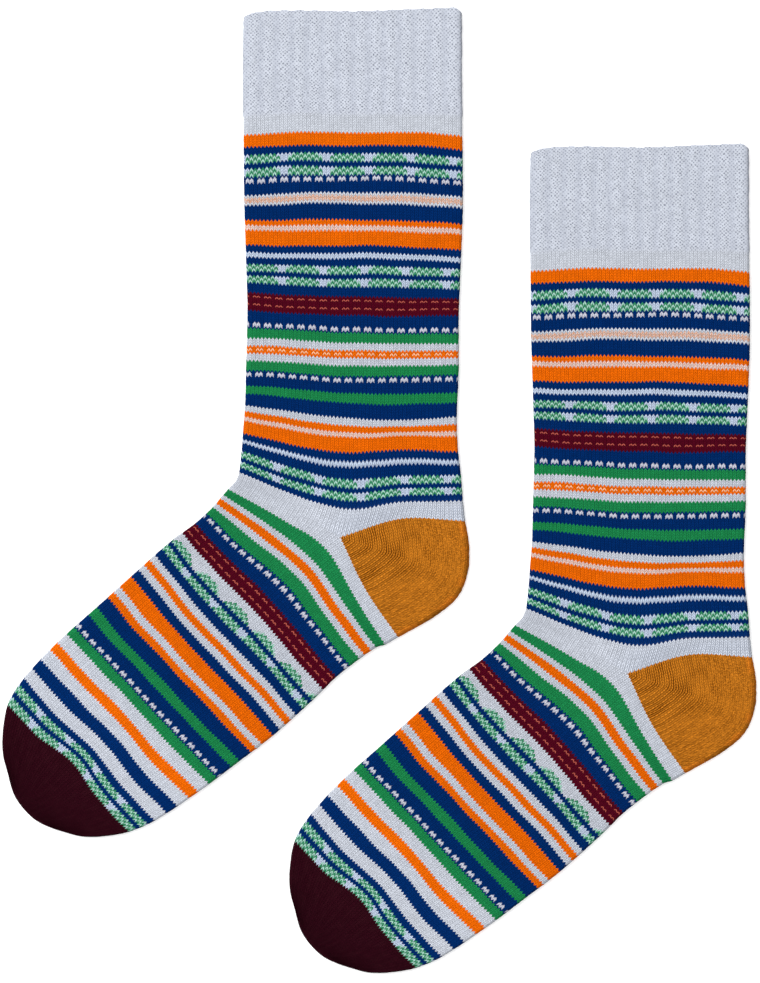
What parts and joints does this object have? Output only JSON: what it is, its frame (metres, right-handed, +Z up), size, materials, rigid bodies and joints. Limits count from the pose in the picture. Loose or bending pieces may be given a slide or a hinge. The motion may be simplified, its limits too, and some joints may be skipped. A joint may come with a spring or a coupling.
{
  "type": "pair of socks",
  "caption": "Pair of striped knitted crew socks laid flat, each a flattened tube with a ribbed cuff, leg, turned heel, foot and closed toe.",
  "frame": {"origin": "centre of the pair's bounding box in plan, on the surface that the socks lie on", "axes": "+Z up out of the surface; +Y along the legs towards the cuffs' mouths; +X from the toes' side towards the heels' side"},
  "size_m": [0.3096, 0.3958, 0.0049],
  "materials": {
    "cuff_knit": "pale grey ribbed cotton knit, matt",
    "leg_knit": "navy plain knit striped in orange, green, white and dark red, matt",
    "heel_knit": "ochre plain knit, matt",
    "foot_knit": "plain knit striped in orange, navy, green, white and dark red, matt",
    "toe_knit": "very dark red plain knit, matt"
  },
  "bodies": {
    "root": {"sock_1_cuff": "cuff_knit", "sock_1_leg": "leg_knit", "sock_1_heel": "heel_knit", "sock_1_foot": "foot_knit", "sock_1_toe": "toe_knit", "sock_2_cuff": "cuff_knit", "sock_2_leg": "leg_knit", "sock_2_heel": "heel_knit", "sock_2_foot": "foot_knit", "sock_2_toe": "toe_knit"}
  },
  "joints": []
}
